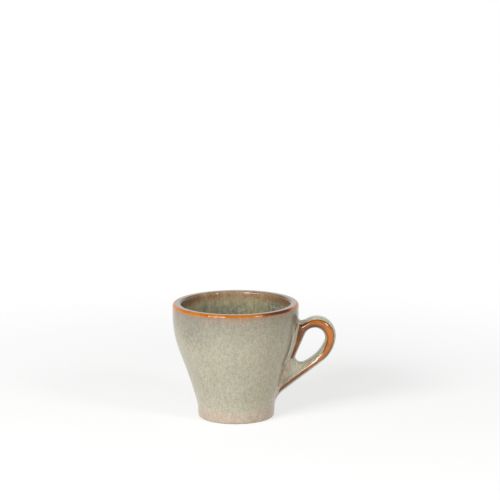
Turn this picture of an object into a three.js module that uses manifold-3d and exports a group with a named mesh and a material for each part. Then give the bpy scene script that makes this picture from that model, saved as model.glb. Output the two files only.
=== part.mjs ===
// Espresso cup of reactive-glazed stoneware: a thick turned body, a cast loop handle, and the slip that
// lutes it on. Millimetres. Pieces are drawn about the Y axis, and the exported group stands them up:
// +Z up, handle towards +X.
import * as THREE from 'three';
import { mergeVertices } from 'three/addons/utils/BufferGeometryUtils.js';
import Module from 'manifold-3d';

// Body
const RIM_RADIUS = 33;
const CUP_HEIGHT = 60.7;
const WALL = 4.6;
const RIM_OUTER_EDGE = 1.4;
const RIM_INNER_EDGE = 0.8;
const RIM_BAND = 6.5;
const SHOULDER_RADIUS = 54;
const FLARE_RADIUS = 300;
const FLOOR_HEIGHT = 7.5;
const FLOOR_FILLET = 9;

// Foot
const FOOT_RADIUS = 20;
const WAIST_RADIUS = 20.3;
const WAIST_HEIGHT = 6.6;
const WAIST_SOFTNESS = 1.5;
const FOOT_EDGE = 1.4;
const FOOT_RING = 4.6;
const FOOT_RECESS = 2;
const RECESS_EDGE = 0.8;

// Handle: the eye is an egg of arcs, with its head high and its tail close to the wall. The outer edge swells
// past it: its arc is centred further out and higher than the head of the eye.
const HANDLE_WIDTH = 10;
const HANDLE_CROWN = 1;
const SIDE_ROUNDING = 4.6;
const BAR_THICKNESS = 4.6;
const EYE_HEAD_RADIUS = 5.4;
const EYE_TAIL_RADIUS = 3;
const EYE_FLANK_RADIUS = 20;
const HEAD_BELOW_RIM = 18.8;
const HEAD_REACH = 9.6;
const TAIL_BELOW_HEAD = 10.3;
const TAIL_REACH = 5.9;
const SWELL_OUT = 1.2;
const SWELL_UP = 1.2;
const OUTER_FLANK_RADIUS = 18;
const FLANK_JOIN_DEGREES = -4.4;
const ROOT_BELOW_RIM = 10.4;
const ROOT_ABOVE_FLOOR = 11.4;

// Sunken web under the eye
const WEB_THICKNESS = 6;
const WEB_EDGE_SLOPE = 1.2;
const RIDGE_END = 4.6;

// Collar of slip round the handle's root
const SLIP_THICKNESS = 0.7;
const SLIP_BEAD = 1.6;
const SLIP_CORNER = 3;
const CLEARANCE = 0.3;

// Fineness: facets round the axis, how far a facet may stand off its arc, and the steps of soft edges
const TURNED_FACETS = 72;
const FACET_ERROR = 0.03;
const SIDE_STEPS = 5;
const SOFT_STEPS = 3;

// How far a cutting shape reaches past the piece that it cuts
const BURIED = 4;

const wasm = await Module();
wasm.setup();

// Points of an arc, turning clockwise where the end angle is the smaller one.
function arc(centre, radius, from, to) {
  const stepAngle = 2 * Math.acos(1 - FACET_ERROR / radius);
  const steps = Math.ceil(Math.abs(to - from) / stepAngle);
  return new THREE.EllipseCurve(centre.x, centre.y, radius, radius, from, to, to < from).getPoints(steps);
}

// Where two circles meet, on the left of the way from the first centre to the second.
function circlesMeet(a, radiusA, b, radiusB) {
  const way = b.clone().sub(a);
  const apart = way.length();
  const along = (radiusA ** 2 - radiusB ** 2 + apart ** 2) / (2 * apart);
  const aside = Math.sqrt(radiusA ** 2 - along ** 2);
  const left = new THREE.Vector2(-way.y, way.x).setLength(aside);
  return a.clone().add(way.setLength(along)).add(left);
}

function angleOf(from, to) {
  return Math.atan2(to.y - from.y, to.x - from.x);
}

function onCircle(centre, radius, angle) {
  return new THREE.Vector2(centre.x + radius * Math.cos(angle), centre.y + radius * Math.sin(angle));
}

// Angle on a circle where a line from an outside point touches it; side is 1 or -1 for the two touches.
function touchAngle(point, centre, radius, side) {
  return angleOf(centre, point) + side * Math.acos(radius / centre.distanceTo(point));
}

function toSolid(geometry) {
  geometry.deleteAttribute('normal');
  geometry.deleteAttribute('uv');
  const merged = mergeVertices(geometry);
  const vertProperties = new Float32Array(merged.attributes.position.array);
  const triVerts = new Uint32Array(merged.index.array);
  return new wasm.Manifold(new wasm.Mesh({ numProp: 3, vertProperties, triVerts }));
}

function toGeometry(solid) {
  const { vertProperties, triVerts } = solid.getMesh();
  const geometry = new THREE.BufferGeometry();
  geometry.setAttribute('position', new THREE.BufferAttribute(vertProperties, 3));
  geometry.setIndex(new THREE.BufferAttribute(triVerts, 1));
  geometry.computeVertexNormals();
  return geometry;
}

// The wall in section: a hollow flare from the waist, a swelling shoulder, and an upright band to the rim.
const waist = new THREE.Vector2(WAIST_RADIUS, WAIST_HEIGHT);
const shoulder = new THREE.Vector2(RIM_RADIUS - SHOULDER_RADIUS, CUP_HEIGHT - RIM_BAND);
const flare = circlesMeet(shoulder, SHOULDER_RADIUS + FLARE_RADIUS, waist, FLARE_RADIUS);
const turnAngle = angleOf(shoulder, flare);
const turnHeight = shoulder.y + SHOULDER_RADIUS * Math.sin(turnAngle);

function flareAngle(radius, height) {
  return Math.PI - Math.asin((height - flare.y) / radius);
}

// The wall from a height on the flare up to the foot of the rim band, moved outwards by an offset.
function wallPoints(offset, fromHeight) {
  const flareRadius = FLARE_RADIUS - offset;
  return [
    ...arc(flare, flareRadius, flareAngle(flareRadius, fromHeight), Math.PI + turnAngle),
    ...arc(shoulder, SHOULDER_RADIUS + offset, turnAngle, 0).slice(1),
  ];
}

function wallRadiusAt(height) {
  if (height > shoulder.y) return RIM_RADIUS;
  const above = height > turnHeight;
  const centre = above ? shoulder : flare;
  const radius = above ? SHOULDER_RADIUS : FLARE_RADIUS;
  const reach = Math.sqrt(radius ** 2 - (height - centre.y) ** 2);
  return above ? centre.x + reach : centre.x - reach;
}

function makeBody() {
  const innerRadius = RIM_RADIUS - WALL;
  const ringInner = FOOT_RADIUS - FOOT_EDGE - FOOT_RING + RECESS_EDGE;
  const softHeight = WAIST_HEIGHT + WAIST_SOFTNESS;
  const softTop = new THREE.Vector2(wallRadiusAt(softHeight), softHeight);
  const softBottom = new THREE.Vector2(WAIST_RADIUS, WAIST_HEIGHT - WAIST_SOFTNESS);
  const recessCentre = new THREE.Vector2(ringInner + RECESS_EDGE, RECESS_EDGE);
  const footCentre = new THREE.Vector2(FOOT_RADIUS - FOOT_EDGE, FOOT_EDGE);
  const rimOuter = new THREE.Vector2(RIM_RADIUS - RIM_OUTER_EDGE, CUP_HEIGHT - RIM_OUTER_EDGE);
  const rimInner = new THREE.Vector2(innerRadius + RIM_INNER_EDGE, CUP_HEIGHT - RIM_INNER_EDGE);
  // The floor fillet touches the floor and the inner flare, which is the outer one moved in by the wall.
  const filletHeight = FLOOR_HEIGHT + FLOOR_FILLET;
  const filletReach = FLARE_RADIUS + WALL + FLOOR_FILLET;
  const floorFillet = new THREE.Vector2(
    flare.x - Math.sqrt(filletReach ** 2 - (filletHeight - flare.y) ** 2),
    filletHeight,
  );
  const filletAngle = angleOf(floorFillet, flare);
  const filletTop = onCircle(floorFillet, FLOOR_FILLET, filletAngle);
  const profile = [
    new THREE.Vector2(0, FOOT_RECESS),
    new THREE.Vector2(ringInner - RECESS_EDGE, FOOT_RECESS),
    ...arc(recessCentre, RECESS_EDGE, Math.PI, Math.PI * 1.5),
    ...arc(footCentre, FOOT_EDGE, -Math.PI / 2, 0),
    ...new THREE.QuadraticBezierCurve(softBottom, waist, softTop).getPoints(SOFT_STEPS),
    ...wallPoints(0, softHeight).slice(1),
    ...arc(rimOuter, RIM_OUTER_EDGE, 0, Math.PI / 2),
    ...arc(rimInner, RIM_INNER_EDGE, Math.PI / 2, Math.PI),
    ...wallPoints(-WALL, filletTop.y).reverse(),
    ...arc(floorFillet, FLOOR_FILLET, filletAngle, -Math.PI / 2).slice(1),
    new THREE.Vector2(0, FLOOR_HEIGHT),
  ];
  return new THREE.LatheGeometry(profile, TURNED_FACETS);
}

// The full round of the wall without its hollow, grown by an offset. It cuts the seat and shapes the slip.
function grownWall(offset) {
  const points = wallPoints(offset, WAIST_HEIGHT);
  const top = new THREE.Vector2(RIM_RADIUS + offset, CUP_HEIGHT);
  const profile = [
    new THREE.Vector2(0, points[0].y),
    ...points,
    top,
    new THREE.Vector2(0, CUP_HEIGHT),
  ];
  return toSolid(new THREE.LatheGeometry(profile, TURNED_FACETS));
}

// Centres of the eye and heights of the two roots, all set off from the wall.
const headHeight = CUP_HEIGHT - HEAD_BELOW_RIM;
const head = new THREE.Vector2(wallRadiusAt(headHeight) + HEAD_REACH, headHeight);
const tailHeight = headHeight - TAIL_BELOW_HEAD;
const tail = new THREE.Vector2(wallRadiusAt(tailHeight) + TAIL_REACH, tailHeight);
const tailToFlank = EYE_FLANK_RADIUS - EYE_TAIL_RADIUS;
const headToFlank = EYE_FLANK_RADIUS - EYE_HEAD_RADIUS;
const flank = circlesMeet(tail, tailToFlank, head, headToFlank);
const rootTop = CUP_HEIGHT - ROOT_BELOW_RIM;
const rootBottom = ROOT_ABOVE_FLOOR;

function onSeat(height) {
  return new THREE.Vector2(wallRadiusAt(height) + CLEARANCE, height);
}

// A point carried on along a line from a touch point, past the seat and into the wall.
function buriedEnd(touch, root) {
  const way = root.clone().sub(touch);
  return root.clone().add(way.setLength(BURIED));
}

// Outer edge of the loop: a line from the top root, the arc of the head, the flank, a line to the low root.
function loopShape() {
  const outerRadius = EYE_HEAD_RADIUS + BAR_THICKNESS;
  const outerHead = new THREE.Vector2(head.x + SWELL_OUT, head.y + SWELL_UP);
  const joinAngle = THREE.MathUtils.degToRad(FLANK_JOIN_DEGREES);
  const outerFlank = onCircle(outerHead, outerRadius - OUTER_FLANK_RADIUS, joinAngle);
  const topAngle = touchAngle(onSeat(rootTop), outerHead, outerRadius, -1);
  const lowAngle = touchAngle(onSeat(rootBottom), outerFlank, OUTER_FLANK_RADIUS, 1);
  return new THREE.Shape([
    buriedEnd(onCircle(outerFlank, OUTER_FLANK_RADIUS, lowAngle), onSeat(rootBottom)),
    ...arc(outerFlank, OUTER_FLANK_RADIUS, lowAngle, joinAngle),
    ...arc(outerHead, outerRadius, joinAngle, topAngle).slice(1),
    buriedEnd(onCircle(outerHead, outerRadius, topAngle), onSeat(rootTop)),
  ]);
}

// The eye: head, a straight side next to the wall, tail, and the flank that bellies outwards.
function eyeOutline() {
  const lean = Math.asin((EYE_HEAD_RADIUS - EYE_TAIL_RADIUS) / head.distanceTo(tail));
  const straightAngle = angleOf(tail, head) + lean + Math.PI / 2;
  const joinAngle = angleOf(flank, head);
  const tailAngle = angleOf(flank, tail);
  return new THREE.Path([
    ...arc(head, EYE_HEAD_RADIUS, joinAngle, straightAngle),
    ...arc(tail, EYE_TAIL_RADIUS, straightAngle, tailAngle + 2 * Math.PI),
    ...arc(flank, EYE_FLANK_RADIUS, tailAngle, joinAngle).slice(1, -1),
  ]);
}

// The web is sunk between the tail of the eye, the wall and the ridge along the low edge of the handle.
function webOutline() {
  const ridgeCircle = EYE_FLANK_RADIUS + HANDLE_CROWN;
  const ridgeRoot = onSeat(rootBottom + RIDGE_END);
  const ridgeAngle = touchAngle(ridgeRoot, flank, ridgeCircle, 1);
  const ridgeTouch = onCircle(flank, ridgeCircle, ridgeAngle);
  return new THREE.Shape([
    new THREE.Vector2(wallRadiusAt(tail.y) - BURIED, tail.y),
    buriedEnd(ridgeTouch, ridgeRoot),
    ridgeTouch,
    tail,
  ]);
}

// The bar of the handle with its sunken web, before the seat is cut, grown all round by a clearance.
function handleBar(shape, grow) {
  const middle = HANDLE_WIDTH - 2 * SIDE_ROUNDING + 2 * grow;
  const bar = new THREE.ExtrudeGeometry(shape, {
    depth: middle,
    bevelThickness: SIDE_ROUNDING,
    bevelSize: HANDLE_CROWN,
    bevelOffset: grow - HANDLE_CROWN,
    bevelSegments: SIDE_STEPS,
  });
  bar.translate(0, 0, -middle / 2);
  const sink = (HANDLE_WIDTH - WEB_THICKNESS) / 2;
  const mouth = HANDLE_WIDTH / 2 + grow;
  let solid = toSolid(bar);
  for (const start of [mouth, -mouth - BURIED]) {
    const pocket = new THREE.ExtrudeGeometry(webOutline(), {
      depth: BURIED,
      bevelThickness: sink,
      bevelSize: WEB_EDGE_SLOPE,
      bevelOffset: -grow - WEB_EDGE_SLOPE,
      bevelSegments: SOFT_STEPS,
    });
    pocket.translate(0, 0, start);
    solid = solid.subtract(toSolid(pocket));
  }
  return solid;
}

function makeHandle() {
  const shape = loopShape();
  shape.holes.push(eyeOutline());
  return toGeometry(handleBar(shape, 0).subtract(grownWall(CLEARANCE)));
}

// A collar of slip: the skin between two grown walls, trimmed to a round-cornered bead and cut open where
// the handle stands.
function makeSlip() {
  const side = HANDLE_WIDTH / 2 + SLIP_BEAD - SLIP_CORNER;
  const high = rootTop + SLIP_BEAD - SLIP_CORNER;
  const low = rootBottom - SLIP_BEAD + SLIP_CORNER;
  const corners = [[side, high], [-side, high], [-side, low], [side, low]];
  const outline = new THREE.Shape(
    corners.flatMap(([x, y], turn) => {
      const from = (turn * Math.PI) / 2;
      return arc(new THREE.Vector2(x, y), SLIP_CORNER, from, from + Math.PI / 2);
    }),
  );
  const trim = new THREE.ExtrudeGeometry(outline, { depth: RIM_RADIUS + BURIED, bevelEnabled: false });
  trim.rotateY(Math.PI / 2);
  const skin = grownWall(CLEARANCE + SLIP_THICKNESS).subtract(grownWall(CLEARANCE));
  return toGeometry(skin.intersect(toSolid(trim)).subtract(handleBar(loopShape(), CLEARANCE)));
}

function piece(name, geometry, color, roughness) {
  const mesh = new THREE.Mesh(geometry, new THREE.MeshStandardMaterial({ color, roughness, metalness: 0 }));
  mesh.name = name;
  return mesh;
}

const cup = new THREE.Group();
cup.rotation.x = Math.PI / 2;
cup.add(piece('cup_body', makeBody(), 0xb9b49c, 0.3));
cup.add(piece('handle', makeHandle(), 0xb07a42, 0.25));
cup.add(piece('handle_slip', makeSlip(), 0xb5ac92, 0.4));

export default cup;
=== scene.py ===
"""An espresso cup of reactive-glazed stoneware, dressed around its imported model.
Metres, +Z up, handle to +X."""
import math

import bpy
import numpy as np
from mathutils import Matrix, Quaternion, Vector, noise

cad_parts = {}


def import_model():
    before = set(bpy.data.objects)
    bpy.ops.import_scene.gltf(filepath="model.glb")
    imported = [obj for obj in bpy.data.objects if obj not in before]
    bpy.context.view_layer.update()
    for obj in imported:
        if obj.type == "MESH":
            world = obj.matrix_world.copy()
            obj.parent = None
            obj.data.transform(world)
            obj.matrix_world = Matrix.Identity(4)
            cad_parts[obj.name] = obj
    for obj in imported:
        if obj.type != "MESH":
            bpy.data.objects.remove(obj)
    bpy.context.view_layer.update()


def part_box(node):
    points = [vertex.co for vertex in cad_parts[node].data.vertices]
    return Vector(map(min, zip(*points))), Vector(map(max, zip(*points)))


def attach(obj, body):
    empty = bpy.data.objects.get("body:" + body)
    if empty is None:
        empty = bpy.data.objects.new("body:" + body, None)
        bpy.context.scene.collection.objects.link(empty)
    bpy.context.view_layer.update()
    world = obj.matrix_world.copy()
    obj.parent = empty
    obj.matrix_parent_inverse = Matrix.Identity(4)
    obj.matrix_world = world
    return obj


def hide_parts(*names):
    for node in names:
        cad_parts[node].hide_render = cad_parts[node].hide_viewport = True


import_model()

# Cup body
# The vessel is one thick piece of stoneware, cast and then turned true: a low foot, a hollow flare,
# a swelling shoulder and a broad flat rim. The glaze is sprayed inside and out, and wiped off the ring
# that stands in the kiln.
MM = 0.001
_, body_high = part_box("cup_body")
rim_radius = body_high.x
cup_height = body_high.z
WALL = 4.6 * MM
RIM_OUTER_EDGE = 1.4 * MM
RIM_INNER_EDGE = 1.4 * MM
RIM_BAND = 6.5 * MM
SHOULDER_RADIUS = 54 * MM
FLARE_RADIUS = 300 * MM
FLOOR_HEIGHT = 7.5 * MM
FLOOR_FILLET = 9 * MM
FOOT_RADIUS = 20 * MM
WAIST_RADIUS = 20.3 * MM
WAIST_HEIGHT = 6.6 * MM
WAIST_SOFTNESS = 1.5 * MM
FOOT_EDGE = 1.4 * MM
RING_INNER = 14.8 * MM
FOOT_RECESS = 2 * MM
RECESS_EDGE = 0.8 * MM
SECTION_STEP = 0.45 * MM
SECTION_TURN = 0.12
SAME_POINT = 0.01 * MM
ROUND_STEPS = 288


def arc(centre, radius, start, end):
    """Points of an arc from one angle to another, finer on a small radius."""
    step = min(SECTION_STEP, radius * SECTION_TURN)
    turns = np.linspace(start, end, math.ceil(abs(end - start) * radius / step) + 1)
    return [Vector((centre.x + radius * math.cos(t), centre.y + radius * math.sin(t))) for t in turns]


def straight(start, end):
    """Points of a line between two corners."""
    steps = math.ceil((end - start).length / SECTION_STEP)
    return [start.lerp(end, i / steps) for i in range(steps + 1)]


def bend(start, corner, end):
    """Points of a soft corner: a curve that leaves and arrives along the two sides."""
    steps = math.ceil((end - start).length / SECTION_STEP) + 2
    shares = [i / steps for i in range(steps + 1)]
    return [start.lerp(corner, t).lerp(corner.lerp(end, t), t) for t in shares]


def angle_of(start, end):
    return math.atan2(end.y - start.y, end.x - start.x)


def circles_meet(a, radius_a, b, radius_b):
    """Where two circles meet, on the left of the way from the first centre to the second."""
    way = b - a
    along = (radius_a**2 - radius_b**2 + way.length_squared) / (2 * way.length)
    aside = math.sqrt(radius_a**2 - along**2)
    ahead = way.normalized()
    return a + along * ahead + aside * Vector((-ahead.y, ahead.x))


waist = Vector((WAIST_RADIUS, WAIST_HEIGHT))
shoulder = Vector((rim_radius - SHOULDER_RADIUS, cup_height - RIM_BAND))
flare = circles_meet(shoulder, SHOULDER_RADIUS + FLARE_RADIUS, waist, FLARE_RADIUS)
turn_angle = angle_of(shoulder, flare)
turn_height = shoulder.y + SHOULDER_RADIUS * math.sin(turn_angle)
inner_radius = rim_radius - WALL
soft_height = WAIST_HEIGHT + WAIST_SOFTNESS
soft_angle = math.pi - math.asin((soft_height - flare.y) / FLARE_RADIUS)
soft_top = Vector((flare.x + FLARE_RADIUS * math.cos(soft_angle), soft_height))
soft_bottom = Vector((WAIST_RADIUS, WAIST_HEIGHT - WAIST_SOFTNESS))
fillet_height = FLOOR_HEIGHT + FLOOR_FILLET
fillet_reach = FLARE_RADIUS + WALL + FLOOR_FILLET
fillet = Vector((flare.x - math.sqrt(fillet_reach**2 - (fillet_height - flare.y) ** 2), fillet_height))
fillet_angle = angle_of(fillet, flare)
foot_centre = Vector((FOOT_RADIUS - FOOT_EDGE, FOOT_EDGE))
recess_centre = Vector((RING_INNER + RECESS_EDGE, RECESS_EDGE))
recess_corner = Vector((RING_INNER - RECESS_EDGE, FOOT_RECESS))
recess_side = Vector((RING_INNER, RECESS_EDGE))
rim_outer = Vector((rim_radius - RIM_OUTER_EDGE, cup_height - RIM_OUTER_EDGE))
rim_inner = Vector((inner_radius + RIM_INNER_EDGE, cup_height - RIM_INNER_EDGE))
half_turn, right_angle = math.pi, math.pi / 2
stretches = {
    "recess": straight(Vector((0, FOOT_RECESS)), recess_corner - Vector((RECESS_EDGE, 0)))
    + bend(recess_corner - Vector((RECESS_EDGE, 0)), recess_corner, recess_corner.lerp(recess_side, 0.5))
    + straight(recess_corner.lerp(recess_side, 0.5), recess_side)
    + arc(recess_centre, RECESS_EDGE, half_turn, half_turn + right_angle),
    "ring": straight(Vector((recess_centre.x, 0)), Vector((foot_centre.x, 0))),
    "foot": arc(foot_centre, FOOT_EDGE, -right_angle, 0)
    + straight(Vector((FOOT_RADIUS, FOOT_EDGE)), soft_bottom)
    + bend(soft_bottom, waist, soft_top),
    "wall": arc(flare, FLARE_RADIUS, soft_angle, half_turn + turn_angle)
    + arc(shoulder, SHOULDER_RADIUS, turn_angle, 0)
    + straight(Vector((rim_radius, shoulder.y)), Vector((rim_radius, rim_outer.y))),
    "rim_edge": arc(rim_outer, RIM_OUTER_EDGE, 0, right_angle),
    "rim_top": straight(Vector((rim_outer.x, cup_height)), Vector((rim_inner.x, cup_height))),
    "lip": arc(rim_inner, RIM_INNER_EDGE, right_angle, half_turn),
    "inside": straight(Vector((inner_radius, rim_inner.y)), Vector((inner_radius, shoulder.y)))
    + arc(shoulder, SHOULDER_RADIUS - WALL, 0, turn_angle)
    + arc(flare, FLARE_RADIUS + WALL, half_turn + turn_angle, fillet_angle + half_turn)
    + arc(fillet, FLOOR_FILLET, fillet_angle, -right_angle)
    + straight(Vector((fillet.x, FLOOR_HEIGHT)), Vector((0, FLOOR_HEIGHT))),
}

# The section as one line, and the way along it at which each stretch starts
section, ways, starts = [], [], {}
for stretch, points in stretches.items():
    for point in points:
        if section and (point - section[-1]).length < SAME_POINT:
            continue
        ways.append(ways[-1] + (point - section[-1]).length if section else 0.0)
        section.append(point)
    starts[stretch] = ways[-1] - sum((b - a).length for a, b in zip(points, points[1:]))

WIPED_OUTSIDE = 1.0 * MM
WIPED_INSIDE = 0.6 * MM
WIPED_WAVE = 0.35 * MM
WIPED_WAVE_TURN = 0.35
WIPED_WAVE_SEED = 7
GLAZE_STEP = 0.12 * MM
GLAZE_EDGE = 0.15 * MM
HAND_WAVE = 0.12 * MM
SLOW_RISE = 14 * MM
QUICK_RISE = 9 * MM


def smooth_step(low, high, value):
    t = np.clip((value - low) / (high - low), 0, 1)
    return t * t * (3 - 2 * t)


def hand_wave(turn, height):
    """How far the wall stays back from a true turning: two soft waves that wind up it."""
    slow = np.sin(2 * turn + 1 + height / SLOW_RISE)
    quick = np.sin(3 * turn - height / QUICK_RISE)
    return HAND_WAVE * (0.5 + 0.3 * slow + 0.2 * quick)


def turned_body():
    """The section turned about Z, uneven as handwork is, with a step where the glaze was wiped off."""
    turns = np.linspace(0, 2 * math.pi, ROUND_STEPS, endpoint=False)
    vertices = [(0, 0, section[0].y)]
    way_values = [ways[0]]
    glaze_values = [starts["ring"]]
    for point, way in zip(section[1:-1], ways[1:-1]):
        for turn in turns:
            x, y = math.cos(turn), math.sin(turn)
            shift = WIPED_WAVE * noise.noise(Vector((x, y, WIPED_WAVE_SEED)) / WIPED_WAVE_TURN)
            in_recess = starts["ring"] - WIPED_INSIDE - way
            glazed = max(in_recess, way - starts["foot"] - WIPED_OUTSIDE + shift)
            radius = point.x
            if way > starts["foot"]:
                radius -= hand_wave(turn, point.y)
                radius -= GLAZE_STEP * (1 - smooth_step(-GLAZE_EDGE, GLAZE_EDGE, glazed))
            vertices.append((radius * x, radius * y, point.y))
            way_values.append(way)
            glaze_values.append(glazed)
    vertices.append((0, 0, section[-1].y))
    way_values.append(ways[-1])
    glaze_values.append(ways[-1])
    rings = len(section) - 2
    last = len(vertices) - 1
    faces = []
    for step in range(ROUND_STEPS):
        after = (step + 1) % ROUND_STEPS
        faces.append((0, 1 + after, 1 + step))
        top = 1 + (rings - 1) * ROUND_STEPS
        faces.append((last, top + step, top + after))
        for ring in range(rings - 1):
            low = 1 + ring * ROUND_STEPS
            high = low + ROUND_STEPS
            faces.append((low + step, low + after, high + after, high + step))
    mesh = bpy.data.meshes.new("cup_body_glazed")
    mesh.from_pydata(vertices, [], faces)
    mesh.shade_smooth()
    for title, values in (("way", way_values), ("glazed", glaze_values)):
        mesh.attributes.new(title, "FLOAT", "POINT").data.foreach_set("value", values)
    piece = bpy.data.objects.new("cup_body_glazed", mesh)
    bpy.context.scene.collection.objects.link(piece)
    return piece


def add(tree, kind, inputs=None, **settings):
    """A new shader node, its inputs set to values or linked from sockets."""
    made = tree.nodes.new(kind)
    for title, value in settings.items():
        setattr(made, title, value)
    for title, value in (inputs or {}).items():
        if isinstance(value, bpy.types.NodeSocket):
            tree.links.new(value, made.inputs[title])
        else:
            made.inputs[title].default_value = value
    return made


def sums(tree, operation, a, b=0.0, c=0.0):
    """A Math node of two or three values."""
    return add(tree, "ShaderNodeMath", {0: a, 1: b, 2: c}, operation=operation).outputs[0]


def times(tree, product, *others):
    for other in others:
        product = sums(tree, "MULTIPLY", product, other)
    return product


def split(tree, vector):
    """The X, Y and Z of a vector."""
    return add(tree, "ShaderNodeSeparateXYZ", {0: vector}).outputs


def ramp(tree, value, zero_at, one_at):
    """A smooth step of a value, 0 at one limit and 1 at the other."""
    inputs = {"Value": value, "From Min": zero_at, "From Max": one_at}
    return add(tree, "ShaderNodeMapRange", inputs, interpolation_type="SMOOTHSTEP").outputs["Result"]


def blend(tree, factor, a, b, mode="MIX"):
    """A colour between two, by a factor."""
    made = add(tree, "ShaderNodeMix", {0: factor, 6: a, 7: b}, data_type="RGBA", blend_type=mode)
    return made.outputs[2]


def tint(tree, colour, over, mask, share):
    """A colour with a share of another laid over it where a mask is 1."""
    return blend(tree, times(tree, mask, share), colour, over)


def cloud(tree, place, size, detail=2.0, roughness=0.5):
    """Noise from 0 to 1 with spots of about one size, in metres."""
    inputs = {"Vector": place, "Scale": 1 / size, "Detail": detail, "Roughness": roughness}
    return add(tree, "ShaderNodeTexNoise", inputs).outputs[0]


def drawn_out(tree, place, run):
    """The place squeezed along Z, so that spots on it run downwards."""
    return add(tree, "ShaderNodeVectorMath", {0: place, 1: (1, 1, run)}, operation="MULTIPLY").outputs[0]


def new_group(title, takes, gives):
    """An empty shader node group: the tree, the sockets that it takes and the sockets that it gives."""
    tree = bpy.data.node_groups.new(title, "ShaderNodeTree")
    for name, kind in takes.items():
        tree.interface.new_socket(name, in_out="INPUT", socket_type="NodeSocket" + kind)
    for name, kind in gives.items():
        tree.interface.new_socket(name, in_out="OUTPUT", socket_type="NodeSocket" + kind)
    return tree, tree.nodes.new("NodeGroupInput").outputs, tree.nodes.new("NodeGroupOutput").inputs


def place_group(tree, group, inputs):
    return add(tree, "ShaderNodeGroup", inputs, node_tree=group).outputs


GRAIN_SIZE = 0.5 * MM
GRAIN_SHARE = 0.66
GRAIN_DARK = (0.80, 0.80, 0.74, 1)
GRAIN_PALE = (1.18, 1.17, 1.21, 1)
MOTTLE_SIZE = 1.3 * MM
MOTTLE_RUN = 0.5
DRIFT_SIZE = 8 * MM
CLOUD_LOW = 0.36
CLOUD_HIGH = 0.64
FLECK_SPACING = 1.7 * MM
FLECK_SPREAD = 0.34
FLECK_RARITY = 0.12
FLECK_EDGE = 0.06
FLECK_SHARE = 0.3


def crystal_mottle():
    """Crystals that grow in the cooling glaze: fine pale grains over a deeper ground, slow drifts of tone
    and iron specks."""
    outputs = {"Grain": "Color", "Tone": "Float", "Drift": "Float", "Fleck": "Float"}
    tree, takes, gives = new_group("Crystal mottle", {"Place": "Vector"}, outputs)
    runs = drawn_out(tree, takes["Place"], MOTTLE_RUN)
    grain = cloud(tree, takes["Place"], GRAIN_SIZE, roughness=0.6)
    mottle = cloud(tree, runs, MOTTLE_SIZE, detail=3.0, roughness=0.55)
    tone = sums(tree, "MULTIPLY_ADD", grain, GRAIN_SHARE, times(tree, mottle, 1 - GRAIN_SHARE))
    tone = ramp(tree, tone, CLOUD_LOW, CLOUD_HIGH)
    drift = ramp(tree, cloud(tree, runs, DRIFT_SIZE), CLOUD_LOW, CLOUD_HIGH)
    iron = add(tree, "ShaderNodeTexVoronoi", {"Vector": takes["Place"], "Scale": 1 / FLECK_SPACING})
    iron_size = sums(tree, "MULTIPLY_ADD", iron.outputs["Color"], FLECK_SPREAD, -FLECK_RARITY)
    iron_spot = sums(tree, "SUBTRACT", iron_size, iron.outputs["Distance"])
    tree.links.new(blend(tree, tone, GRAIN_DARK, GRAIN_PALE), gives["Grain"])
    tree.links.new(tone, gives["Tone"])
    tree.links.new(drift, gives["Drift"])
    tree.links.new(ramp(tree, iron_spot, -FLECK_EDGE, FLECK_EDGE), gives["Fleck"])
    return tree


def wandering_border():
    """The uneven border between two glaze zones: a distance across it, softened and made to wander."""
    inputs = {"Place": "Vector", "Distance": "Float", "Softness": "Float", "Wander": "Float", "Size": "Float"}
    tree, takes, gives = new_group("Wandering border", inputs, {"Mask": "Float"})
    scale = sums(tree, "DIVIDE", 1.0, takes["Size"])
    wander = add(tree, "ShaderNodeTexNoise", {"Vector": takes["Place"], "Scale": scale, "Detail": 3.0})
    shift = times(tree, sums(tree, "SUBTRACT", wander.outputs[0], 0.5), takes["Wander"])
    across = sums(tree, "ADD", takes["Distance"], shift)
    side = sums(tree, "DIVIDE", across, takes["Softness"])
    tree.links.new(ramp(tree, side, zero_at=-1.0, one_at=1.0), gives["Mask"])
    return tree


AMBER_POOL = 6 * MM
AMBER_STREAK = 0.9 * MM


def amber_break():
    """Where glaze runs thin over an edge its iron shows: honey where it is thicker, rust where thinnest and
    where painted shade is added in.
    """
    inputs = {"Place": "Vector", "Thinness_and_shade": "Float", "Honey": "Color", "Rust": "Color"}
    tree, takes, gives = new_group("Amber break", inputs, {"Color": "Color"})
    thin = sums(tree, "MULTIPLY_ADD", cloud(tree, takes["Place"], AMBER_POOL), 0.6, takes["Thinness_and_shade"])
    thin = sums(tree, "MULTIPLY_ADD", cloud(tree, takes["Place"], AMBER_STREAK), 0.4, thin)
    rusty = ramp(tree, thin, zero_at=0.4, one_at=0.9)
    tree.links.new(blend(tree, rusty, takes["Honey"], takes["Rust"]), gives["Color"])
    return tree


PEEL_SIZE = 2.6 * MM
PORE_SPACING = 1.1 * MM
PORE_SHARE = 0.15
SKIN_DEPTH = 0.1 * MM


def glaze_skin():
    """The skin of fired glaze: a faint orange peel and pinholes."""
    tree, takes, gives = new_group("Glaze skin", {"Place": "Vector"}, {"Height": "Float"})
    peel = cloud(tree, takes["Place"], PEEL_SIZE)
    pores = add(tree, "ShaderNodeTexVoronoi", {"Vector": takes["Place"], "Scale": 1 / PORE_SPACING})
    pits = ramp(tree, pores.outputs["Distance"], zero_at=0.05, one_at=0.16)
    tree.links.new(sums(tree, "MULTIPLY_ADD", pits, PORE_SHARE, peel), gives["Height"])
    return tree


crystals = crystal_mottle()
border = wandering_border()
amber = amber_break()
skin = glaze_skin()


def glaze_material(title):
    """A new material with its tree, its shader and the place on the piece."""
    material = bpy.data.materials.new(title)
    material.use_nodes = True
    tree = material.node_tree
    shader = tree.nodes["Principled BSDF"]
    place = tree.nodes.new("ShaderNodeTexCoord").outputs["Object"]
    return material, tree, shader, place


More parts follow.
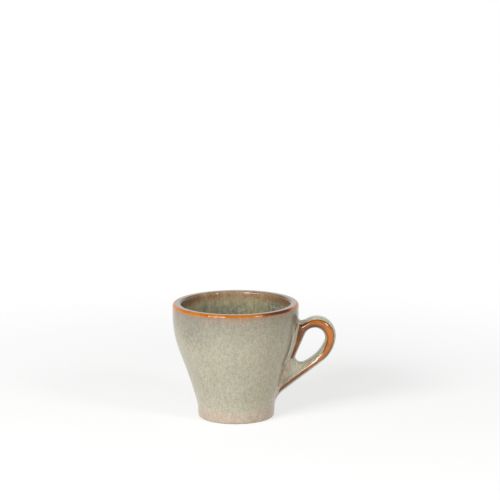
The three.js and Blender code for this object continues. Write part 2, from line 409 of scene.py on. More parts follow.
def fire(tree, shader, place, colour, rough, relief):
    """Joins a glaze's colour, its roughness and the relief of its skin to the shader."""
    tree.links.new(colour, shader.inputs["Base Color"])
    tree.links.new(rough, shader.inputs["Roughness"])
    height = place_group(tree, skin, {"Place": place})["Height"]
    bump = add(tree, "ShaderNodeBump", {"Height": height, "Strength": relief, "Distance": SKIN_DEPTH})
    tree.links.new(bump.outputs[0], shader.inputs["Normal"])


def mark(tree, title):
    """A value that the mesh carries at each point."""
    return add(tree, "ShaderNodeAttribute", attribute_name=title).outputs["Fac"]


def band(tree, place, distance, softness, wander, size):
    """A wandering border's mask, 1 where the distance is positive."""
    inputs = {"Place": place, "Distance": distance, "Softness": softness, "Wander": wander, "Size": size}
    return place_group(tree, border, inputs)["Mask"]


def beyond(tree, place, start, softness, wander, size):
    """1 past a point of the cup's section."""
    past = sums(tree, "SUBTRACT", mark(tree, "way"), start)
    return band(tree, place, past, softness, wander, size)


def before(tree, place, end, softness, wander, size):
    """1 up to a point of the cup's section."""
    return sums(tree, "SUBTRACT", 1.0, beyond(tree, place, end, softness, wander, size))


PATCH_SOFTNESS = 0.6


def patch(tree, place, centre, radius):
    """A soft uneven patch about a point, 1 at its middle."""
    away = add(tree, "ShaderNodeVectorMath", {0: place, 1: Vector(centre) * MM}, operation="DISTANCE")
    within = sums(tree, "SUBTRACT", radius, away.outputs["Value"])
    softness = PATCH_SOFTNESS * radius
    return band(tree, place, within, softness, wander=2 * softness, size=softness)


def flakes(tree, place):
    """The broken texture of a clouded patch."""
    return ramp(tree, cloud(tree, place, 1.6 * MM, detail=3.0), zero_at=0.3, one_at=0.6)


CELADON = (0.428, 0.398, 0.305, 1)
CELADON_GREEN = (0.398, 0.378, 0.283, 1)
CELADON_WARM = (0.405, 0.357, 0.242, 1)
CELADON_PAINTED_SHADE = (0.260, 0.243, 0.184, 1)
CELADON_PAINTED_BOUNCE = (0.580, 0.535, 0.420, 1)
MAUVE = (0.330, 0.250, 0.190, 1)
SLATE = (0.245, 0.240, 0.195, 1)
OLIVE = (0.250, 0.215, 0.130, 1)
UMBER = (0.140, 0.110, 0.060, 1)
FOOT_BLUSH = (0.480, 0.385, 0.300, 1)
RIM_GREY = (0.300, 0.285, 0.222, 1)
HONEY = (0.56, 0.165, 0.002, 1)
RUST = (0.13, 0.020, 0.002, 1)
LIP_BROWN = (0.33, 0.175, 0.095, 1)
LIP_DARK = (0.13, 0.065, 0.03, 1)
INSIDE_TAN = (0.40, 0.345, 0.21, 1)
INSIDE_TEAL = (0.140, 0.160, 0.122, 1)
IRON = (0.22, 0.15, 0.08, 1)
SLIP_PALE = (0.56, 0.525, 0.405, 1)
SLIP_BLUSH = (0.54, 0.450, 0.350, 1)
CLAY_PALE = (0.55, 0.43, 0.31, 1)
CLAY_DARK = (0.42, 0.31, 0.21, 1)
GREY_PATCH = (-22.5, -24, 54)
GREY_PATCH_RADIUS = 9 * MM
DARK_PATCH = (30.8, -11.8, 56)
DARK_PATCH_RADIUS = 3.5 * MM
TEAL_PATCHES = ((1, 27, 46), (21, 18.5, 53))
TEAL_PATCH_RADIUS = 8 * MM
TEAL_RUN = 0.35
SLIP_BLUSH_HEIGHT = 29 * MM
FOOT_BLUSH_REACH = 7 * MM
LIP_REACH = 3 * MM
CLAY_EDGE = 0.12 * MM
CUP_RELIEF = 0.25


def speckled(tree, mottle, colour):
    """A colour with the grain of the crystals and the iron specks."""
    colour = blend(tree, 1.0, colour, mottle["Grain"], "MULTIPLY")
    return tint(tree, colour, IRON, mottle["Fleck"], FLECK_SHARE)


def slip_colour(tree, place):
    """The pale glaze over the slip, blushed and specked low down."""
    below = sums(tree, "SUBTRACT", SLIP_BLUSH_HEIGHT, split(tree, place)["Z"])
    low = band(tree, place, below, softness=4 * MM, wander=8 * MM, size=5 * MM)
    colour = tint(tree, SLIP_PALE, SLIP_BLUSH, low, share=0.8)
    specks = ramp(tree, cloud(tree, place, 0.9 * MM), zero_at=0.56, one_at=0.66)
    return tint(tree, colour, LIP_BROWN, times(tree, specks, low), share=0.5)


def seam_glaze(tree, place, colour):
    """The wall's glaze beside the handle: pale where the slip is wiped out over it, partly its colour and
    partly painted light, and a painted shade line along that edge.
    """
    spot = split(tree, place)
    seam = mark(tree, "seam")
    beside_handle = ramp(tree, spot["X"], zero_at=5 * MM, one_at=15 * MM)
    # Partly the slip's pale colour, partly painted light for a strip that catches more light than the wall.
    wiped = times(tree, ramp(tree, seam, zero_at=3.2 * MM, one_at=2.5 * MM), beside_handle)
    colour = tint(tree, colour, slip_colour(tree, place), wiped, share=0.9)
    # Painted shade: a dark line on the wall just past the slip's edge.
    past_slip = ramp(tree, seam, zero_at=3.0 * MM, one_at=3.6 * MM)
    near_slip = ramp(tree, seam, zero_at=5.0 * MM, one_at=3.8 * MM)
    high_up = ramp(tree, spot["Z"], zero_at=16 * MM, one_at=30 * MM)
    line = times(tree, past_slip, near_slip, high_up, beside_handle)
    return tint(tree, colour, UMBER, line, share=0.6)


def outside_glaze(tree, place, drift, foot):
    """Pale celadon with mauve, slate and olive under the rim, blushed towards the foot. Painted shade darkens
    the upper wall towards the rim, and painted light pales its lowest part.
    """
    spot = split(tree, place)
    towards_handle, height = spot["X"], spot["Z"]
    rim = starts["rim_edge"]
    colour = blend(tree, drift, CELADON, CELADON_GREEN)
    warm = ramp(tree, towards_handle, zero_at=-6 * MM, one_at=28 * MM)
    colour = tint(tree, colour, CELADON_WARM, warm, share=0.6)
    # Painted shade: the wall grows darker towards the rim, standing in for less light from above.
    below_rim = sums(tree, "SUBTRACT", rim, mark(tree, "way"))
    painted_upper_shade = ramp(tree, below_rim, zero_at=24 * MM, one_at=1 * MM)
    colour = tint(tree, colour, CELADON_PAINTED_SHADE, painted_upper_shade, share=0.75)
    # Painted light: the lowest part of the wall is paled as if lit from the white table below.
    colour = tint(tree, colour, CELADON_PAINTED_BOUNCE, ramp(tree, height, zero_at=18 * MM, one_at=4 * MM), share=0.3)
    colour = tint(tree, colour, FOOT_BLUSH, foot, share=0.8)
    # The upper wall's mauve, slate and olive are partly the glaze's own tones and partly painted shade,
    # darkening it towards the rim and towards the handle.
    shade = blend(tree, ramp(tree, cloud(tree, place, 11 * MM), zero_at=0.42, one_at=0.58), MAUVE, SLATE)
    shade = blend(tree, ramp(tree, towards_handle, zero_at=6 * MM, one_at=26 * MM), shade, OLIVE)
    upper = beyond(tree, place, rim - 4 * MM, softness=4 * MM, wander=9 * MM, size=6 * MM)
    colour = tint(tree, colour, shade, upper, share=0.8)
    clouded = times(tree, patch(tree, place, GREY_PATCH, GREY_PATCH_RADIUS), flakes(tree, place))
    colour = tint(tree, colour, SLATE, clouded, share=0.85)
    colour = tint(tree, colour, UMBER, patch(tree, place, DARK_PATCH, DARK_PATCH_RADIUS), share=0.7)
    near_rim = beyond(tree, place, rim - 1.5 * MM, softness=1.8 * MM, wander=2.5 * MM, size=4 * MM)
    colour = tint(tree, colour, LIP_BROWN, near_rim, share=0.65)
    colour = seam_glaze(tree, place, colour)
    # The rim top's grey is partly the glaze's own colour and partly painted shade on the upward face.
    rim_top = beyond(tree, place, starts["rim_top"], softness=0.4 * MM, wander=0.3 * MM, size=2 * MM)
    return tint(tree, colour, RIM_GREY, rim_top, share=0.9)


def inside_glaze(tree, place):
    """Tan at the top, teal where it pools, and a broken brown band under the lip."""
    runs = drawn_out(tree, place, TEAL_RUN)
    depth = sums(tree, "SUBTRACT", mark(tree, "way"), starts["inside"])
    deep = ramp(tree, depth, zero_at=2 * MM, one_at=16 * MM)
    pooled = cloud(tree, runs, 4 * MM, detail=3.0, roughness=0.6)
    pooled = ramp(tree, sums(tree, "MULTIPLY_ADD", deep, 0.2, pooled), zero_at=0.45, one_at=0.8)
    colour = tint(tree, INSIDE_TAN, INSIDE_TEAL, pooled, share=0.7)
    for centre in TEAL_PATCHES:
        pool = times(tree, patch(tree, place, centre, TEAL_PATCH_RADIUS), flakes(tree, place))
        colour = tint(tree, colour, INSIDE_TEAL, pool, share=0.9)
    broken = ramp(tree, cloud(tree, runs, 5 * MM, detail=3.0), zero_at=0.40, one_at=0.56)
    lip_end = starts["inside"] + LIP_REACH
    lip = before(tree, place, lip_end, softness=1.8 * MM, wander=4 * MM, size=2.5 * MM)
    colour = tint(tree, colour, LIP_BROWN, lip, sums(tree, "MULTIPLY_ADD", broken, 0.35, 0.5))
    # Partly the lip's darker glaze, partly painted shade: the band under the lip darkens at the inside's left
    # and right.
    off_middle = sums(tree, "ABSOLUTE", split(tree, place)["X"])
    aside = ramp(tree, off_middle, zero_at=16 * MM, one_at=27 * MM)
    colour = tint(tree, colour, LIP_DARK, times(tree, lip, aside), share=0.7)
    dots = ramp(tree, cloud(tree, place, 1.1 * MM), zero_at=0.52, one_at=0.66)
    return tint(tree, colour, LIP_DARK, times(tree, dots, lip, broken), share=0.7)


def rim_amber(tree, place):
    """The amber on the rim's edge, darker on one stretch towards the handle: partly rust where the glaze
    breaks, partly painted shade of that dimmer side.
    """
    towards_handle = split(tree, place)["X"]
    left_end = ramp(tree, towards_handle, zero_at=10 * MM, one_at=20 * MM)
    right_end = ramp(tree, towards_handle, zero_at=31 * MM, one_at=25 * MM)
    thin = times(tree, left_end, right_end, 0.45)
    inputs = {"Place": place, "Thinness_and_shade": thin, "Honey": HONEY, "Rust": RUST}
    return place_group(tree, amber, inputs)["Color"]


def rim_edge_mask(tree, place):
    edge = starts["rim_edge"] + 0.05 * MM
    top = starts["rim_top"] + 0.1 * MM
    past_edge = beyond(tree, place, edge, softness=0.12 * MM, wander=0.3 * MM, size=3 * MM)
    short_of_top = before(tree, place, top, softness=0.2 * MM, wander=0.4 * MM, size=3 * MM)
    return times(tree, past_edge, short_of_top)


def cup_glaze():
    material, tree, shader, place = glaze_material("cup_glaze")
    mottle = place_group(tree, crystals, {"Place": place})
    foot_end = starts["foot"] + FOOT_BLUSH_REACH
    foot = before(tree, place, foot_end, softness=1.6 * MM, wander=5 * MM, size=7 * MM)
    outside = outside_glaze(tree, place, mottle["Drift"], foot)
    lip_start = starts["lip"] + 0.3 * MM
    within = beyond(tree, place, lip_start, softness=0.3 * MM, wander=0.3 * MM, size=2 * MM)
    colour = speckled(tree, mottle, blend(tree, within, outside, inside_glaze(tree, place)))
    edge = rim_edge_mask(tree, place)
    colour = blend(tree, edge, colour, rim_amber(tree, place))
    clay = blend(tree, cloud(tree, place, 0.6 * MM, detail=3.0), CLAY_DARK, CLAY_PALE)
    bare = ramp(tree, mark(tree, "glazed"), zero_at=CLAY_EDGE, one_at=-CLAY_EDGE)
    colour = blend(tree, bare, colour, clay)
    rough = sums(tree, "MULTIPLY_ADD", mottle["Tone"], 0.06, 0.07)
    for zone, duller in ((foot, 0.12), (edge, -0.05), (bare, 0.55)):
        rough = sums(tree, "MULTIPLY_ADD", zone, duller, rough)
    fire(tree, shader, place, colour, rough, CUP_RELIEF)
    return material


cup_body = turned_body()
cup_body.data.materials.append(cup_glaze())
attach(cup_body, "root")
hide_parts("cup_body")

# Handle
# A closed loop cast in its own mould and stuck on while the clay is leather hard. Broad crowned faces
# run round the teardrop eye, the two sides carry a rounded ridge, and a thinner web fills the corner
# under the eye.
handle_low, handle_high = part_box("handle")
HALF_WIDTH = handle_high.y
CROWN = 1 * MM
CROWN_END = 0.999
SIDE_SWELL = 0.4 * MM
CORNER = 2.2 * MM
BAR_THICKNESS = 4.56 * MM
EYE_HEAD_RADIUS = 5.4 * MM
EYE_TAIL_RADIUS = 3 * MM
EYE_FLANK_RADIUS = 20 * MM
HEAD_BELOW_RIM = 18.8 * MM
HEAD_REACH = 9.6 * MM
TAIL_BELOW_HEAD = 10.3 * MM
TAIL_REACH = 5.9 * MM
SWELL_OUT = 1.2 * MM
SWELL_UP = 1.2 * MM
OUTER_FLANK_RADIUS = 18 * MM
FLANK_JOIN = math.radians(-4.4)
ROOT_BELOW_RIM = 11.3 * MM
ROOT_ABOVE_FLOOR = 11.4 * MM
WEB_HALF_WIDTH = 3 * MM
WEB_SOFTNESS = 1.7 * MM
WEB_SLOPE = 0.6
RIDGE_END = 4.6 * MM
SEAT_DEPTH = 0.3 * MM
CLAY_STEP = 0.3 * MM
DRAW_ROUNDS = 6
LEAST_SLOPE = 0.1


def wall_gap(points):
    """Distance of points outside the cup's wall, negative within it."""
    reach = np.hypot(points[..., 0], points[..., 1])
    height = points[..., 2]
    over_flare = FLARE_RADIUS - np.hypot(reach - flare.x, height - flare.y)
    over_shoulder = np.hypot(reach - shoulder.x, height - shoulder.y) - SHOULDER_RADIUS
    below = np.where(height > turn_height, over_shoulder, over_flare)
    return np.where(height > shoulder.y, reach - rim_radius, below)


def wall_radius(height):
    if height > shoulder.y:
        return rim_radius
    if height > turn_height:
        return shoulder.x + math.sqrt(SHOULDER_RADIUS**2 - (height - shoulder.y) ** 2)
    return flare.x - math.sqrt(FLARE_RADIUS**2 - (height - flare.y) ** 2)


def touch_angle(point, centre, radius, side):
    """Angle on a circle where a line from an outside point touches it."""
    return angle_of(centre, point) + side * math.acos(radius / (point - centre).length)


def heading(angle):
    return Vector((math.cos(angle), math.sin(angle)))


head_height = cup_height - HEAD_BELOW_RIM
head = Vector((wall_radius(head_height) + HEAD_REACH, head_height))
tail_height = head_height - TAIL_BELOW_HEAD
tail = Vector((wall_radius(tail_height) + TAIL_REACH, tail_height))
flank = circles_meet(tail, EYE_FLANK_RADIUS - EYE_TAIL_RADIUS, head, EYE_FLANK_RADIUS - EYE_HEAD_RADIUS)
root_top = Vector((wall_radius(cup_height - ROOT_BELOW_RIM), cup_height - ROOT_BELOW_RIM))
root_low = Vector((wall_radius(ROOT_ABOVE_FLOOR), ROOT_ABOVE_FLOOR))
ridge_root = Vector((wall_radius(ROOT_ABOVE_FLOOR + RIDGE_END), ROOT_ABOVE_FLOOR + RIDGE_END))
outer_radius = EYE_HEAD_RADIUS + BAR_THICKNESS
outer_head = head + Vector((SWELL_OUT, SWELL_UP))
outer_flank = outer_head + (outer_radius - OUTER_FLANK_RADIUS) * heading(FLANK_JOIN)
ridge_flank = EYE_FLANK_RADIUS + CROWN
join_angle = angle_of(flank, head)
tail_angle = angle_of(flank, tail)
top_angle = touch_angle(root_top, outer_head, outer_radius, -1)
low_angle = touch_angle(root_low, outer_flank, OUTER_FLANK_RADIUS, 1)
ridge_angle = touch_angle(ridge_root, flank, ridge_flank, 1)
lean = math.asin((EYE_HEAD_RADIUS - EYE_TAIL_RADIUS) / (head - tail).length)
straight_angle = angle_of(tail, head) + lean + right_angle


def round_from(centre, x, z, start):
    """Distance from a centre, and the angle round it past a starting angle, from 0 to a full turn."""
    turn = np.arctan2(z - centre.y, x - centre.x) - start
    return np.hypot(x - centre.x, z - centre.y), np.mod(turn, 2 * math.pi)


def line_gap(centre, radius, angle, x, z):
    """Distance past the line that touches a circle at an angle."""
    return (x - centre.x) * math.cos(angle) + (z - centre.y) * math.sin(angle) - radius


def outline_gap(x, z):
    """Distance outside the loop's outer edge: two lines from the wall, the long flank and the head."""
    from_head, past_join = round_from(outer_head, x, z, FLANK_JOIN)
    from_flank, past_low = round_from(outer_flank, x, z, low_angle)
    lines = np.maximum(
        line_gap(outer_head, outer_radius, top_angle, x, z),
        line_gap(outer_flank, OUTER_FLANK_RADIUS, low_angle, x, z),
    )
    on_head = past_join < top_angle - FLANK_JOIN
    on_flank = past_low < FLANK_JOIN - low_angle
    below = np.where(on_flank, from_flank - OUTER_FLANK_RADIUS, lines)
    return np.where(on_head, from_head - outer_radius, below)


def eye_gap(x, z):
    """Distance outside the eye: head, straight side, tail and flank."""
    from_head, past_join = round_from(head, x, z, join_angle)
    from_tail, past_straight = round_from(tail, x, z, straight_angle)
    from_flank, _ = round_from(flank, x, z, 0)
    sides = np.maximum(line_gap(head, EYE_HEAD_RADIUS, straight_angle, x, z), from_flank - EYE_FLANK_RADIUS)
    on_head = past_join < straight_angle - join_angle
    on_tail = past_straight < tail_angle + 2 * math.pi - straight_angle
    below = np.where(on_tail, from_tail - EYE_TAIL_RADIUS, sides)
    return np.where(on_head, from_head - EYE_HEAD_RADIUS, below)


def soft_max(a, b, softness):
    """The larger of two distances, with the corner between them filled in."""
    near = np.clip(softness - np.abs(a - b), 0, None)
    return np.maximum(a, b) + near**2 / (4 * softness)


def web_gap(x, z):
    """Distance outside the sunken web: under the tail, above the low ridge."""
    under_tail = z - tail.y
    ridge_touch = flank + ridge_flank * heading(ridge_angle)
    side = (tail - ridge_touch).normalized()
    beside = (x - tail.x) * side.y - (z - tail.y) * side.x
    above_ridge = line_gap(flank, ridge_flank, ridge_angle, x, z)
    return soft_max(soft_max(under_tail, above_ridge, WEB_SOFTNESS), beside, WEB_SOFTNESS)


def loop_gap(points):
    """Distance outside the loop as seen from its side, negative by the depth within it."""
    x, z = points[..., 0], points[..., 2]
    return np.maximum(outline_gap(x, z), -eye_gap(x, z))


def handle_gap(points):
    """Distance outside the loop's clay, before the seat is cut to the wall."""
    x, y, z = points[..., 0], np.abs(points[..., 1]), points[..., 2]
    outer = outline_gap(x, z)
    loop = loop_gap(points)
    crown = CROWN * (1 - np.sqrt(1 - np.clip(y / HALF_WIDTH, 0, CROWN_END) ** 2))
    face = loop + crown
    off_middle = np.clip(np.abs(outer + BAR_THICKNESS / 2) / (BAR_THICKNESS / 2), 0, 1)
    side = y - HALF_WIDTH + SIDE_SWELL * off_middle**2
    inside = np.minimum(np.maximum(face, side) + CORNER, 0)
    corner = np.hypot(np.clip(face + CORNER, 0, None), np.clip(side + CORNER, 0, None))
    bar = corner - CORNER + inside
    pocket = np.maximum(web_gap(x, z) + WEB_SLOPE * (HALF_WIDTH - y), WEB_HALF_WIDTH - y)
    return soft_max(bar, -pocket, WEB_SOFTNESS)


def seated_handle(points):
    return np.maximum(handle_gap(points), -SEAT_DEPTH - wall_gap(points))


def largest_shell(points, faces):
    """The points and faces of the largest closed shell, without crumbs of clay thinner than a cell."""
    shell, before = np.arange(len(points)), None
    while before is None or (shell != before).any():
        before = shell.copy()
        np.minimum.at(shell, faces, before[faces].min(axis=1)[:, None])
        shell = shell[shell]
    kept = shell == np.bincount(shell).argmax()
    number = np.cumsum(kept) - 1
    return points[kept], number[faces[kept[faces[:, 0]]]]


def cast(title, gap, low, high, marks):
    """A closed mesh of the clay between two corners, where its gap is below zero: one point in each cell
    that the surface crosses, drawn on to the surface, and one face over each edge that it cuts."""
    axes = [np.arange(a - 2 * CLAY_STEP, b + 3 * CLAY_STEP, CLAY_STEP) for a, b in zip(low, high)]
    grid = np.stack(np.meshgrid(*axes, indexing="ij"), axis=-1)
    filled = gap(grid) < 0
    cells = [slice(None, -1), slice(1, None)]
    corners = sum(filled[i, j, k].astype(int) for i in cells for j in cells for k in cells)
    crossed = (corners > 0) & (corners < 8)
    number = np.full(crossed.shape, -1)
    number[crossed] = np.arange(crossed.sum())
    points = grid[:-1, :-1, :-1][crossed] + CLAY_STEP / 2
    reach = 0.1 * CLAY_STEP

    def slopes(at):
        rises = [gap(at + reach * axis) - gap(at - reach * axis) for axis in np.eye(3)]
        return np.stack(rises, axis=-1) / (2 * reach)

    for _ in range(DRAW_ROUNDS):
        slope = slopes(points)
        steep = np.maximum((slope**2).sum(axis=1), LEAST_SLOPE)
        points -= np.clip(gap(points) / steep, -CLAY_STEP / 2, CLAY_STEP / 2)[:, None] * slope
    faces = []
    for axis in range(3):
        order = (axis, (axis + 1) % 3, (axis + 2) % 3)
        solid, cell = filled.transpose(order), number.transpose(order)
        near, far = solid[:-1, 1:-1, 1:-1], solid[1:, 1:-1, 1:-1]
        i, j, k = np.nonzero(near != far)
        ring = np.stack([cell[i, j, k], cell[i, j + 1, k], cell[i, j + 1, k + 1], cell[i, j, k + 1]], axis=1)
        inward = far[i, j, k]
        ring[inward] = ring[inward][:, ::-1]
        faces.append(ring)
    points, faces = largest_shell(points, np.concatenate(faces))
    mesh = bpy.data.meshes.new(title)
    mesh.from_pydata(points.tolist(), [], faces.tolist())
    mesh.shade_smooth()
    mesh.normals_split_custom_set_from_vertices(slopes(points).tolist())
    for name, measure in marks.items():
        mesh.attributes.new(name, "FLOAT", "POINT").data.foreach_set("value", measure(points))
    piece = bpy.data.objects.new(title, mesh)
    bpy.context.scene.collection.objects.link(piece)
    return piece


RIDGE_HONEY = (0.46, 0.140, 0.010, 1)
RIDGE_RUST = (0.17, 0.045, 0.010, 1)
HANDLE_PALE = (0.560, 0.525, 0.405, 1)
HANDLE_GREEN = (0.500, 0.475, 0.360, 1)
HANDLE_PAINTED_SHADE = (0.270, 0.262, 0.182, 1)
HANDLE_IOR = 1.6
HANDLE_RELIEF = 0.1
RIDGE_INSET = 0.9 * MM
RIDGE_LOW_EXTRA = 0.4
RIDGE_START = 3.8 * MM
EYE_MARGIN = 0.8 * MM
WEB_MARGIN = 0.3 * MM
NOTCH = (46.9, -4.6, 49.8)
NOTCH_RADIUS = 0.7 * MM


def ridge_mask(tree, place):
    """1 on the ridge: well inside the loop's outline, out to it at the root, and on its two sides."""
    spot = split(tree, place)
    off_wall = ramp(tree, spot["X"], zero_at=33 * MM, one_at=38 * MM)
    below_root = ramp(tree, spot["Z"], zero_at=46 * MM, one_at=42 * MM)
    low = ramp(tree, spot["Z"], zero_at=36 * MM, one_at=26 * MM)
    margin = sums(tree, "MULTIPLY_ADD", low, RIDGE_LOW_EXTRA, sums(tree, "MAXIMUM", off_wall, below_root))
    inset = sums(tree, "MULTIPLY_ADD", margin, -RIDGE_INSET, mark(tree, "inset"))
    aside = sums(tree, "SUBTRACT", sums(tree, "ABSOLUTE", spot["Y"]), RIDGE_START)
    inner = band(tree, place, inset, softness=0.16 * MM, wander=0.3 * MM, size=3 * MM)
    outer = band(tree, place, aside, softness=0.25 * MM, wander=0.4 * MM, size=3 * MM)
    return times(tree, inner, outer)


def ridge_amber(tree, place):
    """The ridge's amber, with painted shade where the ridge faces down, darker along its borders and beside
    the wall.
    """
    facing = split(tree, tree.nodes.new("ShaderNodeNewGeometry").outputs["Normal"])
    # Painted shade: the ridge darkens towards rust where it faces down.
    downwards = ramp(tree, facing["Z"], zero_at=-0.1, one_at=-0.75)
    # Partly rust where the glaze breaks over the borders, partly painted shade there.
    border_rust_and_shade = ramp(tree, mark(tree, "inset"), zero_at=1.7 * MM, one_at=0.9 * MM)
    at_wall = ramp(tree, split(tree, place)["X"], zero_at=39 * MM, one_at=33 * MM)
    thin = times(tree, downwards, 0.35)
    thin = sums(tree, "MULTIPLY_ADD", border_rust_and_shade, 0.45, thin)
    thin = sums(tree, "MULTIPLY_ADD", at_wall, 0.25, thin)
    inputs = {"Place": place, "Thinness_and_shade": thin, "Honey": RIDGE_HONEY, "Rust": RIDGE_RUST}
    return place_group(tree, amber, inputs)["Color"]


def handle_glaze():
    material, tree, shader, place = glaze_material("handle_glaze")
    mottle = place_group(tree, crystals, {"Place": place})
    colour = blend(tree, mottle["Drift"], HANDLE_PALE, HANDLE_GREEN)
    # Painted shade: the glaze darkens to olive near the eye's edge, inside the hollow of the loop, away from
    # the wall.
    painted_eye_shade = ramp(tree, mark(tree, "from_eye"), zero_at=2.4 * MM, one_at=0.8 * MM)
    off_wall = ramp(tree, split(tree, place)["X"], zero_at=33 * MM, one_at=40 * MM)
    colour = tint(tree, colour, HANDLE_PAINTED_SHADE, times(tree, painted_eye_shade, off_wall), share=0.7)
    colour = speckled(tree, mottle, colour)
    ridge = ridge_mask(tree, place)
    colour = blend(tree, ridge, colour, ridge_amber(tree, place))
    colour = tint(tree, colour, UMBER, patch(tree, place, NOTCH, NOTCH_RADIUS), share=0.7)
    shader.inputs["IOR"].default_value = HANDLE_IOR
    rough = sums(tree, "MULTIPLY_ADD", mottle["Tone"], 0.06, 0.08)
    rough = sums(tree, "MULTIPLY_ADD", ridge, -0.06, rough)
    fire(tree, shader, place, colour, rough, HANDLE_RELIEF)
    return material


def ridge_inset(points):
    """Depth inside the ridge, which keeps off the web and further from the eye's low side than elsewhere."""
    x, z = points[..., 0], points[..., 2]
    low_side = EYE_MARGIN * smooth_step(head.y, tail.y, z) * smooth_step(tail.x, head.x, x)
    beside_web = web_gap(x, z) + (1 + RIDGE_LOW_EXTRA) * RIDGE_INSET - WEB_MARGIN
    return np.minimum(np.minimum(-outline_gap(x, z), eye_gap(x, z) - low_side), beside_web)


def from_eye(points):
    return eye_gap(points[..., 0], points[..., 2])


handle_marks = {"inset": ridge_inset, "from_eye": from_eye}
handle = cast("handle_glazed", seated_handle, handle_low, handle_high, handle_marks)
handle.data.materials.append(handle_glaze())
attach(handle, "root")
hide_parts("handle")

# Handle slip
# Liquid clay lutes the handle's seat to the wall. It squeezes out all round the root and is wiped to a
# small hollow fillet with a wet sponge, and the glaze lies thin over it.
slip_low, slip_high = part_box("handle_slip")
FILLET = 2.4 * MM
CREST = 1.3 * MM
CREST_DROP = 3 * MM
CREST_WIDTH = 0.4
SLIP_SPREAD = 2.4
SLIP_SKIN = 0.4 * MM
SLIP_SINK = 0.6 * MM
SLIP_ROOM = 1.5
SLIP_RELIEF = 0.3
FADE_START = 1.0
FADE_END = 1.25
FEATHER = 0.02 * MM
AMBER_OFF_WALL = 0.5 * MM


def smear_gap(points):
    """Distance outside the handle, counted short sideways, where the slip is wiped out along the wall."""
    aside = np.abs(points[..., 1])
    nearer = np.minimum(aside, HALF_WIDTH) + np.clip(aside - HALF_WIDTH, 0, None) / SLIP_SPREAD
    return handle_gap(np.stack([points[..., 0], nearer, points[..., 2]], axis=-1))


def slip_gap(points):
    """Distance outside the fillet between wall and handle, a shell that reaches into both and fades out."""
    turn = np.arctan2(points[..., 1], points[..., 0])
    wall = wall_gap(points) + hand_wave(turn, points[..., 2])
    bar = smear_gap(points)
    on_top = smooth_step(root_top.y - CREST_DROP, root_top.y, points[..., 2])
    on_top = on_top * smooth_step(HALF_WIDTH, CREST_WIDTH * HALF_WIDTH, np.abs(points[..., 1]))
    softness = FILLET + CREST * on_top
    fade = sum(smooth_step(FADE_START, FADE_END, gap / softness) for gap in (wall, bar))
    fillet_surface = -soft_max(-wall, -bar, softness) + FEATHER + SLIP_SINK * fade
    shell = np.maximum(-SLIP_SKIN - wall, -SLIP_SKIN - bar)
    return np.maximum(fillet_surface, shell)


def slip_glaze():
    material, tree, shader, place = glaze_material("slip_glaze")
    mottle = place_group(tree, crystals, {"Place": place})
    colour = speckled(tree, mottle, slip_colour(tree, place))
    off_wall = sums(tree, "SUBTRACT", mark(tree, "off_wall"), AMBER_OFF_WALL)
    off_wall = band(tree, place, off_wall, softness=0.15 * MM, wander=0.3 * MM, size=3 * MM)
    on_bar = times(tree, ridge_mask(tree, place), off_wall)
    colour = blend(tree, on_bar, colour, ridge_amber(tree, place))
    rough = sums(tree, "MULTIPLY_ADD", mottle["Tone"], 0.08, 0.34)
    fire(tree, shader, place, colour, rough, SLIP_RELIEF)
    return material


slip_room = SLIP_ROOM * FILLET * Vector((1, SLIP_SPREAD, 1))
slip_marks = {"inset": ridge_inset, "off_wall": wall_gap}
slip = cast("handle_slip_glazed", slip_gap, slip_low - slip_room, slip_high + slip_room, slip_marks)

# The wall's glaze reads how near the wiped slip is
body_points = np.empty(3 * len(cup_body.data.vertices))
cup_body.data.vertices.foreach_get("co", body_points)
seam = smear_gap(body_points.reshape(-1, 3))
cup_body.data.attributes.new("seam", "FLOAT", "POINT").data.foreach_set("value", seam)
slip.data.materials.append(slip_glaze())
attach(slip, "root")
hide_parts("handle_slip")

# Table and studio
# A white sweep under soft boxes. The table's own paleness and a share of glow for the camera make it
# white, and it still takes the cup's shadow.
TABLE_SIDE = 8.0
TABLE_DROP = 0.02 * MM
TABLE_NEAR = 0.10
TABLE_FAR = 0.34
TABLE_GLOW = 0.62
TABLE_PAPER = (0.8, 0.8, 0.79, 1)
TABLE_SHOWN = (0.42, 0.42, 0.415, 1)
WHITE = (1, 1, 1, 1)

table_mesh = bpy.data.meshes.new("table")
half_side = TABLE_SIDE / 2
corners = [(-half_side, -half_side), (half_side, -half_side), (half_side, half_side), (-half_side, half_side)]
table_mesh.from_pydata([(x, y, -TABLE_DROP) for x, y in corners], [], [(0, 1, 2, 3)])
table = bpy.data.objects.new("table", table_mesh)
bpy.context.scene.collection.objects.link(table)
table_paper = bpy.data.materials.new("table_paper")
table_paper.use_nodes = True
tree = table_paper.node_tree
tree.nodes.clear()
paper = add(tree, "ShaderNodeBsdfDiffuse", {"Color": TABLE_PAPER}).outputs[0]
shown_paper = add(tree, "ShaderNodeBsdfDiffuse", {"Color": TABLE_SHOWN}).outputs[0]
glow = add(tree, "ShaderNodeEmission", {"Color": WHITE, "Strength": TABLE_GLOW}).outputs[0]
white = add(tree, "ShaderNodeEmission", {"Color": WHITE, "Strength": 1.0}).outputs[0]
place = tree.nodes.new("ShaderNodeTexCoord").outputs["Object"]
away = add(tree, "ShaderNodeVectorMath", {0: place}, operation="LENGTH").outputs["Value"]
far_off = ramp(tree, away, TABLE_NEAR, TABLE_FAR)
near_cup = add(tree, "ShaderNodeAddShader", {0: shown_paper, 1: glow}).outputs[0]
shown = add(tree, "ShaderNodeMixShader", {0: far_off, 1: near_cup, 2: white}).outputs[0]
path = tree.nodes.new("ShaderNodeLightPath").outputs
seen = sums(tree, "MAXIMUM", path["Is Camera Ray"], path["Is Glossy Ray"])
seen = sums(tree, "MAXIMUM", seen, path["Is Transmission Ray"])
top_side = add(tree, "ShaderNodeMixShader", {0: seen, 1: paper, 2: shown}).outputs[0]
clear = tree.nodes.new("ShaderNodeBsdfTransparent").outputs[0]
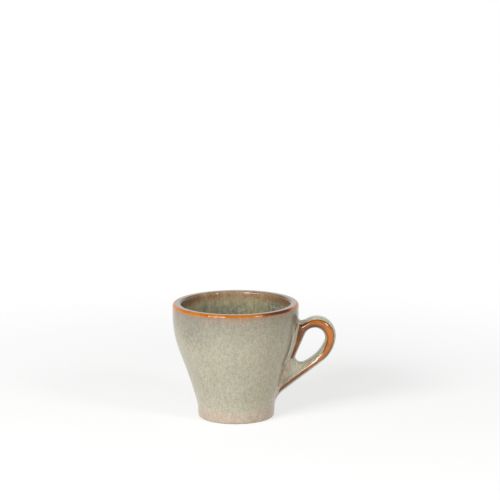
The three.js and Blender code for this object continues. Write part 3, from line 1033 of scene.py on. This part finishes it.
under = tree.nodes.new("ShaderNodeNewGeometry").outputs["Backfacing"]
both_sides = add(tree, "ShaderNodeMixShader", {0: under, 1: top_side, 2: clear}).outputs[0]
add(tree, "ShaderNodeOutputMaterial", {"Surface": both_sides})
table_mesh.materials.append(table_paper)

SKY_HIGH = 0.27
SKY_LOW = 1.0
SWEEP_RISE = 0.35
SWEEP_END = 0.1
SKY_START = 0.3
world = bpy.data.worlds.new("studio")
bpy.context.scene.world = world
world.use_nodes = True
tree = world.node_tree
sky = tree.nodes["Background"]
sky.inputs["Color"].default_value = WHITE
direction = tree.nodes.new("ShaderNodeTexCoord").outputs["Generated"]
ways_out = split(tree, direction)
behind = sums(tree, "MAXIMUM", ways_out["Y"], 0.0)
rise = sums(tree, "MULTIPLY_ADD", behind, -SWEEP_RISE, ways_out["Z"])
strength = sums(tree, "MULTIPLY_ADD", ramp(tree, rise, SWEEP_END, SKY_START), SKY_HIGH - SKY_LOW, SKY_LOW)
tree.links.new(strength, sky.inputs["Strength"])


def soft_box(title, azimuth, elevation, distance, width, height, power):
    """A soft box that looks at the cup, placed by the angles at which the cup sees it."""
    light = bpy.data.lights.new(title, "AREA")
    light.shape = "RECTANGLE"
    light.size = width
    light.size_y = height
    light.energy = power
    lamp = bpy.data.objects.new(title, light)
    turn, rise = math.radians(azimuth), math.radians(elevation)
    ahead = Vector((math.sin(turn) * math.cos(rise), -math.cos(turn) * math.cos(rise), math.sin(rise)))
    lamp.location = Vector((0, 0, cup_height / 2)) + distance * ahead
    lamp.rotation_mode = "QUATERNION"
    lamp.rotation_quaternion = ahead.to_track_quat("Z", "Y")
    bpy.context.scene.collection.objects.link(lamp)


soft_box("key_box", azimuth=-36, elevation=28, distance=1.0, width=0.54, height=0.24, power=8.2)
soft_box("fill_box", azimuth=45, elevation=30, distance=1.0, width=0.22, height=0.22, power=2.2)

# Camera
# A long lens a little above the cup, with the cup low and left of the middle as in the photograph.
CAMERA_DISTANCE = 1.5
CAMERA_RISE = math.radians(14.3)
CAMERA_ROLL = math.radians(-0.39)
IMAGE_SIDE = 500
FOOT_PIXEL = Vector((236.32, 415.26))
LENS = 205.1

camera = bpy.data.cameras.new("camera")
camera.lens = LENS
camera.sensor_width = 36
camera.clip_end = 50
view = bpy.data.objects.new("camera", camera)
bpy.context.scene.collection.objects.link(view)
back = Vector((0, -math.cos(CAMERA_RISE), math.sin(CAMERA_RISE)))
view.location = CAMERA_DISTANCE * back
focal_pixels = LENS / camera.sensor_width * IMAGE_SIDE
foot_ray = Vector((FOOT_PIXEL.x - IMAGE_SIDE / 2, IMAGE_SIDE / 2 - FOOT_PIXEL.y, -focal_pixels))
aim = (-back).to_track_quat("-Z", "Y")
roll = Quaternion((0, 0, 1), CAMERA_ROLL)
view.rotation_mode = "QUATERNION"
view.rotation_quaternion = aim @ roll @ foot_ray.rotation_difference(Vector((0, 0, -1)))
bpy.context.scene.camera = view
bpy.context.scene.view_settings.view_transform = "Standard"
